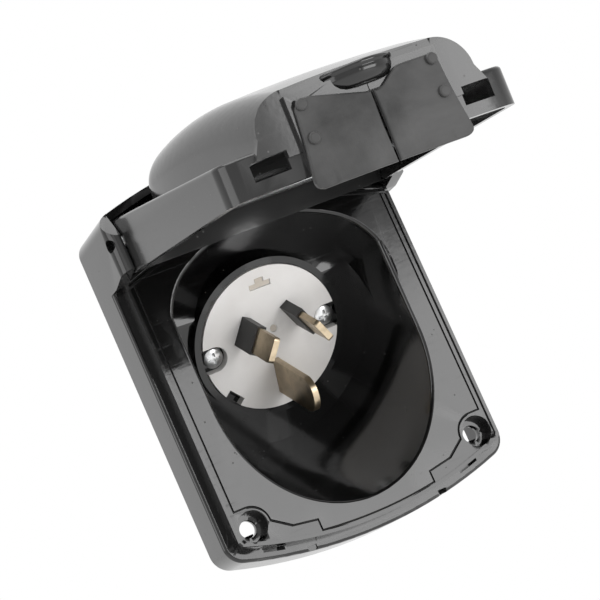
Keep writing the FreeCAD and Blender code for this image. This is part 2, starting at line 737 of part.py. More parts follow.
def skirt_wedge(drop, low):
    """The space under the skirt's sloping top, drawn down by a drop."""
    top_hinge, top_tip, length = size("skirt_hinge") - drop, size("skirt_tip") - drop, size("lid_length")
    corners = [lid_point(-60, -5, low), lid_point(-60, length + 5, low),
               lid_point(-60, length + 5, top_tip - 0.3), lid_point(-60, -5, top_hinge + 0.3)]
    return Part.Face(Part.makePolygon(corners + corners[:1])).extrude(Vector(120, 0, 0))


def dome_section(u, half, top, rounding, low):
    """One cross-section of the dome: leaning sides, rounded shoulders and a slightly crowned top."""
    lean = 0.9 + 0.02 * u
    r = rounding
    side = half - lean
    edges = [
        Part.makeLine(lid_point(-half, u, low), lid_point(-side, u, top - r)),
        Part.Arc(lid_point(-side, u, top - r), lid_point(-side + 0.293 * r, u, top - 0.293 * r),
                 lid_point(-side + r, u, top)).toShape(),
        Part.Arc(lid_point(-side + r, u, top), lid_point(0, u, top + 0.5), lid_point(side - r, u, top)).toShape(),
        Part.Arc(lid_point(side - r, u, top), lid_point(side - 0.293 * r, u, top - 0.293 * r),
                 lid_point(side, u, top - r)).toShape(),
        Part.makeLine(lid_point(side, u, top - r), lid_point(half, u, low)),
        Part.makeLine(lid_point(half, u, low), lid_point(-half, u, low)),
    ]
    return Part.Wire(edges)


# distance from the hinge end, half width, height above the rim, shoulder radius
DOME = ((6.2, 24.4, 15.4, 2.4), (7.8, 26.0, 18.8, 3.8), (11.5, 27.0, 21.6, 5.6), (19.0, 27.6, 23.3, 7.2),
        (38.0, 28.0, 24.0, 8.2), (60.0, 28.0, 22.3, 8.4), (84.5, 28.0, 17.8, 8.2))


def dome_loft(wall, low):
    """The dome's outer solid, or its hollow when a wall is taken off."""
    sections = []
    for u, half, top, rounding in DOME:
        shift = wall * (1.0 if u < 12 else 0.4 if u < 30 else 0.0)
        sections.append(dome_section(u + shift, half - wall, top - wall, max(rounding - wall, 0.8), low))
    return Part.makeLoft(sections, True, False)


def leaning_block(side, x0, x1, u0, u1, w0, w1):
    """A block square to one flap's plane, whose outer face leans back from the middle of the tip."""
    length = size("lid_length")
    solid = Part.makeBox(x1 - x0, w1 - w0, u1 - u0, Vector(x0, size("lid_rim") - w1, size("lid_end") - u1))
    if side < 0:
        solid = solid.mirror(Vector(), X_AXIS)
    solid.rotate(lid_point(0, length, 0), Y_AXIS, -side * size("flap_lean"))
    return solid


def bowl(drop):
    """The finger pull's bowl, which widens upwards in front of the lid's tip; a drop makes its hollow."""
    half, long, low, high = size("grip_half"), size("grip_long"), size("grip_low"), size("grip_high")
    radius = (half ** 2 + long ** 2) / (2 * long)
    centre = size("lid_length") + long - radius
    base = lid_point(0, centre, low + drop)
    solid = Part.makeCone(radius - 2.2 - drop, radius - drop, high - low - drop, base, -Y_AXIS)
    foot = [e for e in solid.Edges if len(e.Vertexes) == 1 and abs(e.BoundBox.YMin - base.y) < 1e-4]
    return solid.makeFillet(1.6, foot)


def make_lid():
    """The lid moulding: skirt, dome, cord mouth, latch windows and finger pull."""
    wall, length = size("lid_wall"), size("lid_length")
    skirt = lid_plan(0, 0, 0, 30).common(skirt_wedge(0, -1))
    end_top = [e for e in skirt.Edges if len(e.Vertexes) == 2
               and abs(e.BoundBox.ZMin - size("lid_end")) < 1e-4 and abs(e.BoundBox.ZMax - size("lid_end")) < 1e-4
               and e.BoundBox.XLength > 20 and e.BoundBox.YMin < 0]
    skirt = skirt.makeFillet(2.8, end_top)
    end_low = [e for e in skirt.Edges if abs(e.BoundBox.ZMin - size("lid_end")) < 1e-4
               and e.BoundBox.XLength > 20 and abs(e.BoundBox.YMax - size("lid_rim")) < 1e-4]
    skirt = skirt.makeChamfer(1.6, end_low)
    long_edges = [e for e in skirt.Edges if e.Length > 50 and e.BoundBox.YMax < size("lid_rim") - 1
                  and abs(abs(e.BoundBox.XMin) - size("lid_half")) < 1e-3 and e.BoundBox.XLength < 1e-3]
    skirt = skirt.makeFillet(0.9, long_edges)
    trim = lid_plan(20, 0, -10, 60)
    dome = dome_loft(0, 5.0).common(trim)
    solid = skirt.fuse(dome)

    hollow = lid_plan(-wall, -wall, -1, 30).common(skirt_wedge(wall, -3))
    trim_in = lid_plan(20, -wall, -10, 60)
    hollow = hollow.fuse(dome_loft(wall, 3.0).common(trim_in))
    solid = solid.cut(hollow)

    # a raised pad carries the two flaps, with the mouth for the cord between them
    for side in (-1, 1):
        solid = solid.fuse(leaning_block(side, 0, size("pad_half"), length - 1.5, length + size("pad_high"),
                                         0.1, size("flap_above") + 0.2))
        window = box(side * size("window_in"), side * size("window_out"), size("lid_rim") - size("window_low"),
                     size("lid_rim") - size("window_high"), size("lid_end") - length + 9, -100)
        solid = solid.cut(window)
    half = size("cord_half")
    mouth = box(-half, half, 20, size("lid_rim") - size("cord_high"), size("lid_end") - length + 6, -100)
    solid = solid.cut(mouth)

    # finger pull: a bowl that stands off the tip, hollow on top
    solid = solid.fuse(bowl(0).cut(lid_plan(-0.7 * wall, -0.7 * wall, -1, 60)))
    solid = solid.cut(bowl(1.3).cut(lid_plan(-0.4, -0.4, -1, 60)))
    # hinge eyes in the side walls
    for side in (-1, 1):
        solid = solid.fuse(Part.makeCylinder(3.1, wall + 1.4, Vector(side * (size("lid_half") - 0.2), 0, 0),
                                             Vector(-side, 0, 0)))
    solid = solid.cut(Part.makeCylinder(size("pin_radius") + 0.06, 120, Vector(-60, 0, 0), X_AXIS))
    return solid.removeSplitter()


def on_lid(name, shape):
    """A sub-part that swings with the lid."""
    return keep(place_lid(feature(name, shape)), name)


on_lid("lid_shell", make_lid())


def flap_plate(side, x0, x1, top):
    """A stretch of one rubber flap, from x0 to x1 outwards from the middle."""
    length, thick_flap = size("lid_length"), size("flap_thick")
    seat = length + size("pad_high")
    return leaning_block(side, x0, x1, seat + 0.03, seat + thick_flap, -size("flap_below"), size(top))


def rivet(side, w, radius, low, high):
    """A round rivet through one flap, square to its plane."""
    x, length = size("rivet_x"), size("lid_length")
    seat = length + size("pad_high")
    solid = Part.makeCylinder(radius, high - low, Vector(side * x, size("lid_rim") - w,
                                                         size("lid_end") - seat - high), Z_AXIS)
    solid.rotate(lid_point(0, length, 0), Y_AXIS, -side * size("flap_lean"))
    return solid


RIVET_HEIGHTS = (6.6, 13.8)
for side, word in ((-1, "left"), (1, "right")):
    clamp = flap_plate(side, size("flap_fold") + 0.15, size("flap_half"), "flap_above")
    for w in RIVET_HEIGHTS:
        clamp = clamp.cut(rivet(side, w, 0.75, -1, 5))
    on_lid(word + "_flap_edge", clamp)
    on_lid(word + "_cord_flap", flap_plate(side, 0.15, size("flap_fold"), "leaf_above"))

rivets = []
for side in (-1, 1):
    for w in RIVET_HEIGHTS:
        shank = rivet(side, w, 0.7, -2.6, size("flap_thick") + 0.05)
        head = rivet(side, w, 1.3, size("flap_thick") + 0.02, size("flap_thick") + 0.75)
        top = [e for e in head.Edges if e.Length > 6 and e.BoundBox.ZMin < head.BoundBox.ZMin + 0.3]
        rivets.append(shank.fuse(head.makeFillet(0.5, top[:1])))
on_lid("flap_rivets", Part.Compound(rivets))

# holes that mating pieces need, cut after those pieces are known
lid_object = doc.getObject("lid_shell")
place = lid_object.Placement
shell = lid_object.Shape.copy()
shell.Placement = Placement()
for side in (-1, 1):
    for w in RIVET_HEIGHTS:
        shell = shell.cut(rivet(side, w, 0.75, -7, 3))
lid_object.Shape = shell
place_lid(lid_object)

# ---------------------------------------------------------------- checks and export

doc.recompute()
for obj in doc.Objects:
    if "Invalid" in obj.State or "Error" in obj.State:
        raise RuntimeError("failed object: %s %s" % (obj.Name, obj.State))
for obj in subparts:
    if obj.Shape.isNull() or not obj.Shape.isValid():
        raise RuntimeError("bad shape: " + obj.Label)

os.makedirs("parts", exist_ok=True)
for obj in subparts:
    obj.Shape.exportStep("parts/%s.step" % obj.Label)
    print("%-20s solids %d volume %.1f" % (obj.Label, len(obj.Shape.Solids), obj.Shape.Volume))
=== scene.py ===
import json
import math

import bmesh
import bpy
from mathutils import Matrix, Vector

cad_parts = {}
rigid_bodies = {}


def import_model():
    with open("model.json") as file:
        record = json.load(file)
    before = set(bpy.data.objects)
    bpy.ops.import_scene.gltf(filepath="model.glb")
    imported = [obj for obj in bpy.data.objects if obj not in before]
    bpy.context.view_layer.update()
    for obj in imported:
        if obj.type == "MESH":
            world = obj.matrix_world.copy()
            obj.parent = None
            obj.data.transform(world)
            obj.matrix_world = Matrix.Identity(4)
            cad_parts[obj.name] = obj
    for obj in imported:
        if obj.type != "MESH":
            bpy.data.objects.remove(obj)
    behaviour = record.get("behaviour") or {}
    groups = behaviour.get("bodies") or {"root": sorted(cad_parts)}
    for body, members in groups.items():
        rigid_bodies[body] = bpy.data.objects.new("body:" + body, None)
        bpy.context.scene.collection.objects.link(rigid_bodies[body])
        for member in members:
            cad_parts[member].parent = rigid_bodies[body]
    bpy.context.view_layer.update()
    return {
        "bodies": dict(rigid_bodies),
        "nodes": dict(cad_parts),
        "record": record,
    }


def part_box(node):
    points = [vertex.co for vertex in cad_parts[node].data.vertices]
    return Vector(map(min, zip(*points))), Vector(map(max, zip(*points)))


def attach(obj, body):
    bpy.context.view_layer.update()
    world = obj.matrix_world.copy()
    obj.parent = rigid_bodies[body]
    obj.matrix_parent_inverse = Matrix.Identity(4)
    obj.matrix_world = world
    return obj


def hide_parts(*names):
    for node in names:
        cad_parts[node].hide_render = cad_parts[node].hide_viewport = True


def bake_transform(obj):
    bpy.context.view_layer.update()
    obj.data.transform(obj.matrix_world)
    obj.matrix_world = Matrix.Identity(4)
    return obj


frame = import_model()
scene = bpy.context.scene
scene.view_settings.view_transform = "Standard"
scene.view_settings.look = "None"

MM = 0.001
# the body that each CAD node moves with
BODY_OF = {}
for body_name, empty in frame["bodies"].items():
    for node_name, node_object in frame["nodes"].items():
        if node_object.parent == empty:
            BODY_OF[node_name] = body_name


# ---------------------------------------------------------------- materials

class Tree:
    """A small helper that adds and joins the nodes of one material."""

    def __init__(self, name):
        self.material = bpy.data.materials.new(name)
        self.material.use_nodes = True
        self.nodes = self.material.node_tree.nodes
        self.links = self.material.node_tree.links
        self.shader = self.nodes["Principled BSDF"]
        self.place = self.nodes.new("ShaderNodeTexCoord").outputs["Object"]

    def add(self, kind, inputs=None, **settings):
        node = self.nodes.new(kind)
        for key, value in settings.items():
            setattr(node, key, value)
        for key, value in (inputs or {}).items():
            if isinstance(value, bpy.types.NodeSocket):
                self.links.new(value, node.inputs[key])
            else:
                node.inputs[key].default_value = value
        return node

    def stretched(self, sizes, turn=(0, 0, 0)):
        """The object's own place, turned and stretched along its axes."""
        node = self.add("ShaderNodeMapping", {"Vector": self.place, "Rotation": turn, "Scale": sizes})
        return node.outputs["Vector"]

    def noise(self, scale, detail=3.0, rough=0.55, vector=None, warp=0.0):
        inputs = {"Vector": vector or self.place, "Scale": scale, "Detail": detail, "Roughness": rough,
                  "Distortion": warp}
        return self.add("ShaderNodeTexNoise", inputs).outputs["Fac"]

    def remap(self, value, low, high, out_low, out_high):
        inputs = {"Value": value, "From Min": low, "From Max": high, "To Min": out_low, "To Max": out_high}
        return self.add("ShaderNodeMapRange", inputs).outputs["Result"]

    def mix(self, factor, a, b):
        node = self.add("ShaderNodeMix", data_type="RGBA")
        for index, value in ((0, factor), (6, a), (7, b)):
            if isinstance(value, bpy.types.NodeSocket):
                self.links.new(value, node.inputs[index])
            else:
                node.inputs[index].default_value = value
        return node.outputs[2]

    def math(self, operation, a, b):
        node = self.add("ShaderNodeMath", {0: a, 1: b}, operation=operation)
        return node.outputs["Value"]

    def edges(self, low=0.52, high=0.62):
        """Where the surface is an outward edge."""
        geometry = self.add("ShaderNodeNewGeometry")
        return self.remap(geometry.outputs["Pointiness"], low, high, 0.0, 1.0)

    def bump(self, height, distance, strength=1.0, normal=None):
        inputs = {"Height": height, "Distance": distance, "Strength": strength}
        if normal is not None:
            inputs["Normal"] = normal
        return self.add("ShaderNodeBump", inputs).outputs["Normal"]

    def set(self, **sockets):
        """Join or set the shader's own sockets."""
        for key, value in sockets.items():
            socket = self.shader.inputs[key.replace("_", " ")]
            if isinstance(value, bpy.types.NodeSocket):
                self.links.new(value, socket)
            else:
                socket.default_value = value
        return self.material


def grey(value, warm=0.0):
    return (value * (1 + warm), value, value * (1 - warm), 1.0)


def gloss_plastic(name, base, rough_low, rough_high):
    """Moulded black plastic: a glossy skin with flow lines, dust, fine scuffs and a painted highlight along
    its outward edges.
    """
    t = Tree(name)
    cloud = t.noise(45.0, 4.0)
    flow = t.noise(260.0, 3.0, vector=t.stretched((0.25, 1.0, 1.0), (0.3, 0.2, 0.1)))
    scuff = t.noise(900.0, 2.0, vector=t.stretched((0.06, 1.0, 1.0), (0.0, 0.6, 0.4)))
    scuff = t.remap(scuff, 0.62, 0.75, 0.0, 1.0)
    dust = t.add("ShaderNodeTexVoronoi", {"Vector": t.place, "Scale": 420.0}).outputs["Distance"]
    patches = t.remap(t.noise(140.0, 1.0), 0.55, 0.6, 0.0, 1.0)
    dust = t.math("MULTIPLY", t.remap(dust, 0.05, 0.12, 1.0, 0.0), patches)
    colour = t.mix(cloud, grey(base * 0.75), grey(base * 1.3, 0.02))
    colour = t.mix(t.math("MULTIPLY", dust, 0.22), colour, grey(0.16, 0.04))
    # painted highlight: outward edges are lightened in colour to stand in for the shine along rounded edges
    colour = t.mix(t.math("MULTIPLY", t.edges(), 0.35), colour, grey(0.06))
    rough = t.remap(cloud, 0.3, 0.7, rough_low, rough_high)
    rough = t.math("ADD", rough, t.math("MULTIPLY", scuff, 0.12))
    rough = t.math("ADD", rough, t.math("MULTIPLY", dust, 0.4))
    peel = t.bump(t.noise(620.0, 2.0), 0.000012, 0.6)
    normal = t.bump(flow, 0.00002, 0.5, peel)
    return t.set(Base_Color=colour, Roughness=rough, Normal=normal, IOR=1.5)


def rubber(name, base, rough, mottling):
    """Moulded rubber: a soft sheen, mottled bloom and a fine pebbled skin."""
    t = Tree(name)
    bloom = t.noise(mottling, 5.0, 0.6, warp=0.4)
    fine = t.noise(2600.0, 2.0)
    speck = t.remap(t.noise(1500.0, 1.0), 0.68, 0.76, 0.0, 1.0)
    colour = t.mix(t.remap(bloom, 0.3, 0.72, 0.0, 1.0), grey(base * 0.5), grey(base * 1.7, 0.01))
    colour = t.mix(t.math("MULTIPLY", speck, 0.1), colour, grey(base * 1.9, 0.03))
    colour = t.mix(t.math("MULTIPLY", t.edges(0.51, 0.6), 0.3), colour, grey(base * 2.0))
    roughness = t.remap(bloom, 0.3, 0.7, rough - 0.07, rough + 0.07)
    normal = t.bump(fine, 0.00003, 0.5, t.bump(bloom, 0.0002, 0.25))
    shine = t.remap(bloom, 0.3, 0.7, 0.25, 0.5)
    return t.set(Base_Color=colour, Roughness=roughness, Normal=normal, Specular_IOR_Level=shine,
                 Sheen_Weight=0.06, Sheen_Roughness=0.5)


def matt_plastic(name, low, high, rough, grain):
    """Matt moulded plastic with a sparked grain and handling marks."""
    t = Tree(name)
    cloud = t.noise(70.0, 4.0)
    spark = t.noise(grain, 3.0)
    smear = t.noise(160.0, 3.0, vector=t.stretched((0.3, 1.0, 0.6), (0.5, 0.1, 0.9)))
    mark = t.remap(smear, 0.6, 0.72, 0.0, 1.0)
    colour = t.mix(t.remap(cloud, 0.3, 0.7, 0.0, 1.0), low, high)
    dirty = tuple(c * 0.72 for c in low[:3]) + (1.0,)
    colour = t.mix(t.math("MULTIPLY", mark, 0.22), colour, dirty)
    roughness = t.remap(cloud, 0.3, 0.7, rough - 0.06, rough + 0.06)
    normal = t.bump(spark, 0.00003, 0.5)
    return t.set(Base_Color=colour, Roughness=roughness, Normal=normal)


def metal(name, low, high, rough, brush, turn=(0, 0, 0), stain=0.3):
    """Drawn or plated metal: brush lines along the piece, tarnish and bright rubbed edges."""
    t = Tree(name)
    line = t.noise(3200.0, 3.0, vector=t.stretched(brush, turn))
    cloud = t.noise(220.0, 4.0, warp=0.3)
    colour = t.mix(t.remap(cloud, 0.32, 0.68, 0.0, 1.0), low, high)
    dark = tuple(c * 0.45 for c in low[:3]) + (1.0,)
    spots = t.remap(t.noise(480.0, 3.0), 0.58, 0.74, 0.0, 1.0)
    colour = t.mix(t.math("MULTIPLY", spots, stain), colour, dark)
    rubbed = tuple(min(c * 1.2, 1) for c in high[:3]) + (1.0,)
    colour = t.mix(t.math("MULTIPLY", t.edges(), 0.6), colour, rubbed)
    roughness = t.remap(cloud, 0.3, 0.7, rough - 0.05, rough + 0.08)
    roughness = t.math("ADD", roughness, t.math("MULTIPLY", line, 0.08))
    normal = t.bump(line, 0.00001, 0.5)
    return t.set(Base_Color=colour, Roughness=roughness, Normal=normal, Metallic=1.0)


# the inlet's axis, turned about X from straight up
TILT = math.radians(90 + 31.6)
MATERIALS = {
    "housing_plastic": gloss_plastic("housing_plastic", 0.0035, 0.07, 0.13),
    "lid_plastic": gloss_plastic("lid_plastic", 0.005, 0.09, 0.16),
    "gasket_rubber": rubber("gasket_rubber", 0.012, 0.7, 60.0),
    "flap_rubber": rubber("flap_rubber", 0.03, 0.5, 48.0),
    "disc_plastic": matt_plastic("disc_plastic", (0.66, 0.64, 0.62, 1), (0.76, 0.745, 0.73, 1), 0.5, 2400.0),
    "block_plastic": matt_plastic("block_plastic", (0.03, 0.03, 0.031, 1), (0.05, 0.05, 0.05, 1), 0.55,
                                  1500.0),
    "sleeve_plastic": matt_plastic("sleeve_plastic", grey(0.006), grey(0.012), 0.45, 2200.0),
    "pin_brass": metal("pin_brass", (0.36, 0.29, 0.20, 1), (0.58, 0.48, 0.34, 1), 0.3, (1, 1, 0.05),
                       (-TILT, 0, 0), 0.45),
    "zinc_steel": metal("zinc_steel", (0.55, 0.56, 0.57, 1), (0.76, 0.76, 0.75, 1), 0.26, (1, 0.3, 1)),
}
SLOT_OF = {row["node"]: row["material_slot"] for row in frame["record"]["subparts"]}


# ---------------------------------------------------------------- mesh helpers

def finish_mesh(obj, smooth_angle=35.0):
    """Smooth shading with crisp breaks at real edges."""
    mesh = obj.data
    mesh.polygons.foreach_set("use_smooth", [True] * len(mesh.polygons))
    mesh.set_sharp_from_angle(angle=math.radians(smooth_angle))
    mesh.update()


def weighted(obj):
    modifier = obj.modifiers.new("weighted", "WEIGHTED_NORMAL")
    modifier.keep_sharp = True
    modifier.weight = 80


def dress(obj, body, slot):
    """Give a piece its material and the body it moves with."""
    obj.data.materials.clear()
    obj.data.materials.append(MATERIALS[slot])
    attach(obj, body)
    return obj


HARD_ANGLE = math.radians(32.0)
FLAT_ANGLE = math.radians(0.6)


def is_hard(edge):
    return len(edge.link_faces) == 2 and edge.calc_face_angle(0) > HARD_ANGLE


def reworked(node, width):
    """A CAD node's shape as clean flat faces, with its hard edges rounded over by a width in millimetres."""
    source = frame["nodes"][node]
    mesh = source.data.copy()
    mesh.materials.clear()
    work = bmesh.new()
    work.from_mesh(mesh)
    bmesh.ops.remove_doubles(work, verts=work.verts, dist=2e-6)
    bmesh.ops.dissolve_limit(work, angle_limit=FLAT_ANGLE, verts=work.verts, edges=work.edges)
    bmesh.ops.dissolve_degenerate(work, dist=1e-6, edges=work.edges)
    hard = [edge for edge in work.edges if is_hard(edge)]
    bmesh.ops.bevel(work, geom=hard, offset=width * MM, offset_type="OFFSET", segments=2, profile=0.6,
                    affect="EDGES", clamp_overlap=True, harden_normals=False)
    bmesh.ops.triangulate(work, faces=[f for f in work.faces if len(f.verts) > 4])
    work.to_mesh(mesh)
    work.free()
    obj = bpy.data.objects.new(node + "_look", mesh)
    scene.collection.objects.link(obj)
    finish_mesh(obj)
    weighted(obj)
    dress(obj, BODY_OF[node], SLOT_OF[node])
    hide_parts(node)
    return obj


EDGE_ROUNDS = {
    "base_housing": 0.22, "inlet_disc": 0.14, "active_pin": 0.14, "neutral_pin": 0.14, "earth_pin": 0.16,
    "active_sleeve": 0.06, "neutral_sleeve": 0.06, "inlet_body": 0.3, "inlet_screws": 0.08,
    "terminal_screws": 0.12, "rear_cover": 0.25, "cover_screws": 0.08, "hinge_pin": 0.1, "lid_shell": 0.25,
    "flap_rivets": 0.05,
}
for node, width in EDGE_ROUNDS.items():
    reworked(node, width)


def ring_faces(count, ring, closed=True):
    """Faces between neighbouring rings of points; a closed run also joins the last ring to the first."""
    return [(k * ring + m, k * ring + (m + 1) % ring, (k + 1) % count * ring + (m + 1) % ring,
             (k + 1) % count * ring + m) for k in range(count if closed else count - 1) for m in range(ring)]


def made(name, points, faces, body, slot, nodes=(), smooth_angle=50.0):
    """A piece from its own points (in millimetres) and faces."""
    mesh = bpy.data.meshes.new(name)
    mesh.from_pydata([tuple(c * MM for c in p) for p in points], [], faces)
    mesh.validate()
    work = bmesh.new()
    work.from_mesh(mesh)
    bmesh.ops.remove_doubles(work, verts=work.verts, dist=1e-7)
    bmesh.ops.recalc_face_normals(work, faces=work.faces)
    work.to_mesh(mesh)
    work.free()
    obj = bpy.data.objects.new(name, mesh)
    scene.collection.objects.link(obj)
    finish_mesh(obj, smooth_angle)
    obj.data.materials.append(MATERIALS[slot])
    if body:
        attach(obj, body)
    if nodes:
        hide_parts(*nodes)
    return obj


# ---------------------------------------------------------------- rubber flaps

# a point on the lid's hinge line, in millimetres, and the lid's turn from shut to open
HINGE = Vector((0.0, -24.6, 34.9))
OPEN = Matrix.Rotation(math.radians(-84.0), 3, "X")
# the shut lid: how far its rim lies behind the hinge line, how far its end lies above it, and its length
LID_RIM, LID_END, LID_LONG = 7.4, 3.4, 82.4
# a flap: its stand-off from the lid's tip, lean in degrees, fold line from the middle, and edge rounding
SEAT, LEAN = 1.9, 3.0
FOLD = 12.6
EDGE_ROUND = 0.36


def flap_place(side, along, out, high):
    """A place on one flap: distance from the middle, out from the lid's tip and above the rim."""
    pivot = Vector((0.0, LID_RIM, LID_END - LID_LONG))
    local = Vector((side * along, LID_RIM - high, LID_END - LID_LONG - out))
    lean = Matrix.Rotation(math.radians(-side * LEAN), 3, "Y")
    return HINGE + OPEN @ (pivot + lean @ (local - pivot))


def flap_sheet(side, columns=58, rows=52):
    """One rubber flap: a moulded sheet with a flared outer edge, rounded corners and a slight belly."""
    low, thick, corner = -3.6, 1.12, 2.6
    points, faces, index = [], [], {}
    for i in range(columns + 1):
        for j in range(rows + 1):
            across = 0.5 - 0.5 * math.cos(math.pi * i / columns)
            upwards = 0.5 - 0.5 * math.cos(math.pi * j / rows)
            outer = 18.9 - 2.34 * upwards - 0.35 * math.sin(math.pi * upwards)
            inner = 0.16 + 0.12 * math.sin(math.pi * upwards) ** 2
            along = inner + (outer - inner) * across
            rise = along / 13.0 if side < 0 else (along - 1.0) / 7.0
            rise = min(max(rise, 0.0), 1.0)
            top = 11.6 + 3.4 * (rise if side < 0 else rise * rise * (3 - 2 * rise))
            high = low + (top - low) * upwards
            # round the two outer corners
            for corner_high, sign in ((top, 1), (low, -1)):
                du = along - (outer - corner)
                dv = sign * (high - corner_high) + corner
                if du > 0 and dv > 0:
                    reach = math.hypot(du, dv)
                    shrink = max(du, dv) / reach if reach else 1.0
                    along = outer - corner + du * shrink
                    high = corner_high - sign * corner + sign * dv * shrink
            # distance to the sheet's nearest edge, which rounds off there
            edge = min(outer - along, along - inner, top - high, high - low)
            round_off = EDGE_ROUND * (1 - math.sqrt(max(0.0, 1 - (1 - min(edge / EDGE_ROUND, 1.0)) ** 2)))
            belly = 0.34 * math.sin(math.pi * min(along / FOLD, 1.0)) * math.sin(math.pi * upwards)
            curl = 0.22 * math.exp(-(high - low) / 2.0) - 0.18 * math.exp(-along / 1.6) * (1 - upwards)
            wave = 0.07 * math.sin(0.55 * along + 1.3 * side) * math.cos(0.42 * high)
            bulge = max(belly + curl + wave, 0.0) if along < FOLD + 1 else 0.0
            index[i, j, 0] = len(points)
            points.append(flap_place(side, along, SEAT + thick + bulge - round_off, high))
            index[i, j, 1] = len(points)
            points.append(flap_place(side, along, SEAT + 0.06 + bulge * 0.9 + round_off * 0.6, high))
    for i in range(columns):
        for j in range(rows):
            faces.append((index[i, j, 0], index[i + 1, j, 0], index[i + 1, j + 1, 0], index[i, j + 1, 0]))
            faces.append((index[i, j, 1], index[i, j + 1, 1], index[i + 1, j + 1, 1], index[i + 1, j, 1]))
    for i in range(columns):
        for j in (0, rows):
            faces.append((index[i, j, 0], index[i, j, 1], index[i + 1, j, 1], index[i + 1, j, 0]))
    for j in range(rows):
        for i in (0, columns):
            faces.append((index[i, j, 0], index[i, j + 1, 0], index[i, j + 1, 1], index[i, j, 1]))
    word = "left" if side < 0 else "right"
    sheet = made(word + "_flap_sheet", points, faces, None, "flap_rubber",
                 (word + "_flap_edge", word + "_cord_flap"), 60.0)
    start = flap_place(side, FOLD + 0.9, SEAT, 5.0) * MM
    end = flap_place(side, FOLD - 1.3, SEAT, 5.0) * MM
    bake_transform(sheet)
    return sheet


for side in (-1, 1):
    flap_sheet(side)

# ---------------------------------------------------------------- finger pull


def pull_lip():
    """The rounded lip and belly of the finger pull, turned about the pull's own axis."""
    section = [(8.35, 17.4), (8.2, 17.75), (8.45, 18.1), (8.85, 18.22), (9.2, 18.08), (9.36, 17.7),
               (9.28, 17.3), (9.0, 17.05), (8.96, 16.8), (9.08, 16.4), (8.98, 15.7), (8.68, 14.9),
               (8.15, 14.15), (7.4, 13.6), (6.4, 13.35), (5.2, 13.35), (5.2, 13.9), (6.9, 14.2)]
    axis_long, reach, steps, ring = 78.215, 64.0, 64, len(section)
    points = []
    for k in range(steps + 1):
        turn = math.radians(-reach + 2 * reach * k / steps)
        for radius, high in section:
            local = Vector((radius * math.sin(turn), LID_RIM - high,
                            LID_END - axis_long - radius * math.cos(turn)))
            points.append(HINGE + OPEN @ local)
    faces = ring_faces(steps + 1, ring, closed=False)
    faces += [tuple(range(ring)), tuple(steps * ring + m for m in range(ring))]
    return made("finger_pull_lip", points, faces, "lid", "lid_plastic", (), 75.0)


pull_lip()

# ---------------------------------------------------------------- seals and bush


def arc(centre, radius, start, end, steps):
    """Points of an arc in the wall plane, angles in degrees."""
    turns = [math.radians(start + (end - start) * k / steps) for k in range(steps + 1)]
    return [(centre[0] + radius * math.cos(a), centre[1] + radius * math.sin(a)) for a in turns]


def swept(name, outline, profile, body, slot, nodes):
    """A closed cord: a profile of (across, out of the wall) carried round an outline of (x, z)."""
    count, ring = len(outline), len(profile)
    points = []
    for k, (x, z) in enumerate(outline):
        before, after = Vector(outline[k - 1]), Vector(outline[(k + 1) % count])
        here = Vector((x, z))
        first, second = (here - before).normalized(), (after - here).normalized()
        run = (first + second).normalized()
        across = Vector((run.y, -run.x)) / max(run.dot(first), 0.5)
        for a, out in profile:
            points.append((x + across.x * a, -out, z + across.y * a))
    return made(name, points, ring_faces(count, ring), body, slot, nodes, 60.0)


def cord_section(width, near, far, steps=10):
    """A cord's section with a flat foot and a domed top."""
    half = width / 2
    rise = half * 0.7
    turns = [math.pi * k / steps for k in range(steps + 1)]
    dome = [(half * math.cos(turn), far - rise + rise * math.sin(turn)) for turn in turns]
    return [(half, near)] + dome + [(-half, near)]


def bowed_outline(half, top, bottom, top_bow, bottom_bow, corner, steps=28):
    """The flange's outline drawn in, clockwise from the left top, with bowed ends and rounded corners."""
    rough = []
    for k in range(steps + 1):
        x = -half + 2 * half * k / steps
        rough.append((x, top - top_bow * (x / half) ** 2))
    for k in range(steps + 1):
        x = half - 2 * half * k / steps
        rough.append((x, bottom + bottom_bow * (x / half) ** 2))
    smooth = []
    for x, z in rough:
        end = top if z > 0 else bottom
        bow = top_bow if z > 0 else -bottom_bow
        if abs(x) <= half - corner:
            smooth.append((x, z))
        elif abs(x) >= half - 1e-6:
            side, sign = math.copysign(1, x), math.copysign(1, z)
            centre = (side * (half - corner), end - bow * ((half - corner) / half) ** 2 - sign * corner)
            quarter = arc(centre, corner, 0, 90, 7)
            turned = [(centre[0] + side * (a - centre[0]), centre[1] + sign * (b - centre[1]))
                      for a, b in quarter]
            smooth += turned if side * sign < 0 else turned[::-1]
    return smooth


low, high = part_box("wall_gasket")
gasket_half = high[0] * 1000 - 0.7
gasket_line = bowed_outline(gasket_half, high[2] * 1000 - 0.7, low[2] * 1000 + 0.7, 5.9, 6.1, 2.4)
gasket_section = cord_section(1.32, 1.55, 0.35)[::-1]
swept("wall_gasket_cord", gasket_line, gasket_section, "base", "gasket_rubber", ("wall_gasket",))


def inlet_place(x, y, out):
    """A place in the inlet's own frame: across the disc, up it, and out along the pins."""
    return Vector((0.0, 3.72, 5.64)) + Matrix.Rotation(TILT, 3, "X") @ Vector((x, y, out))


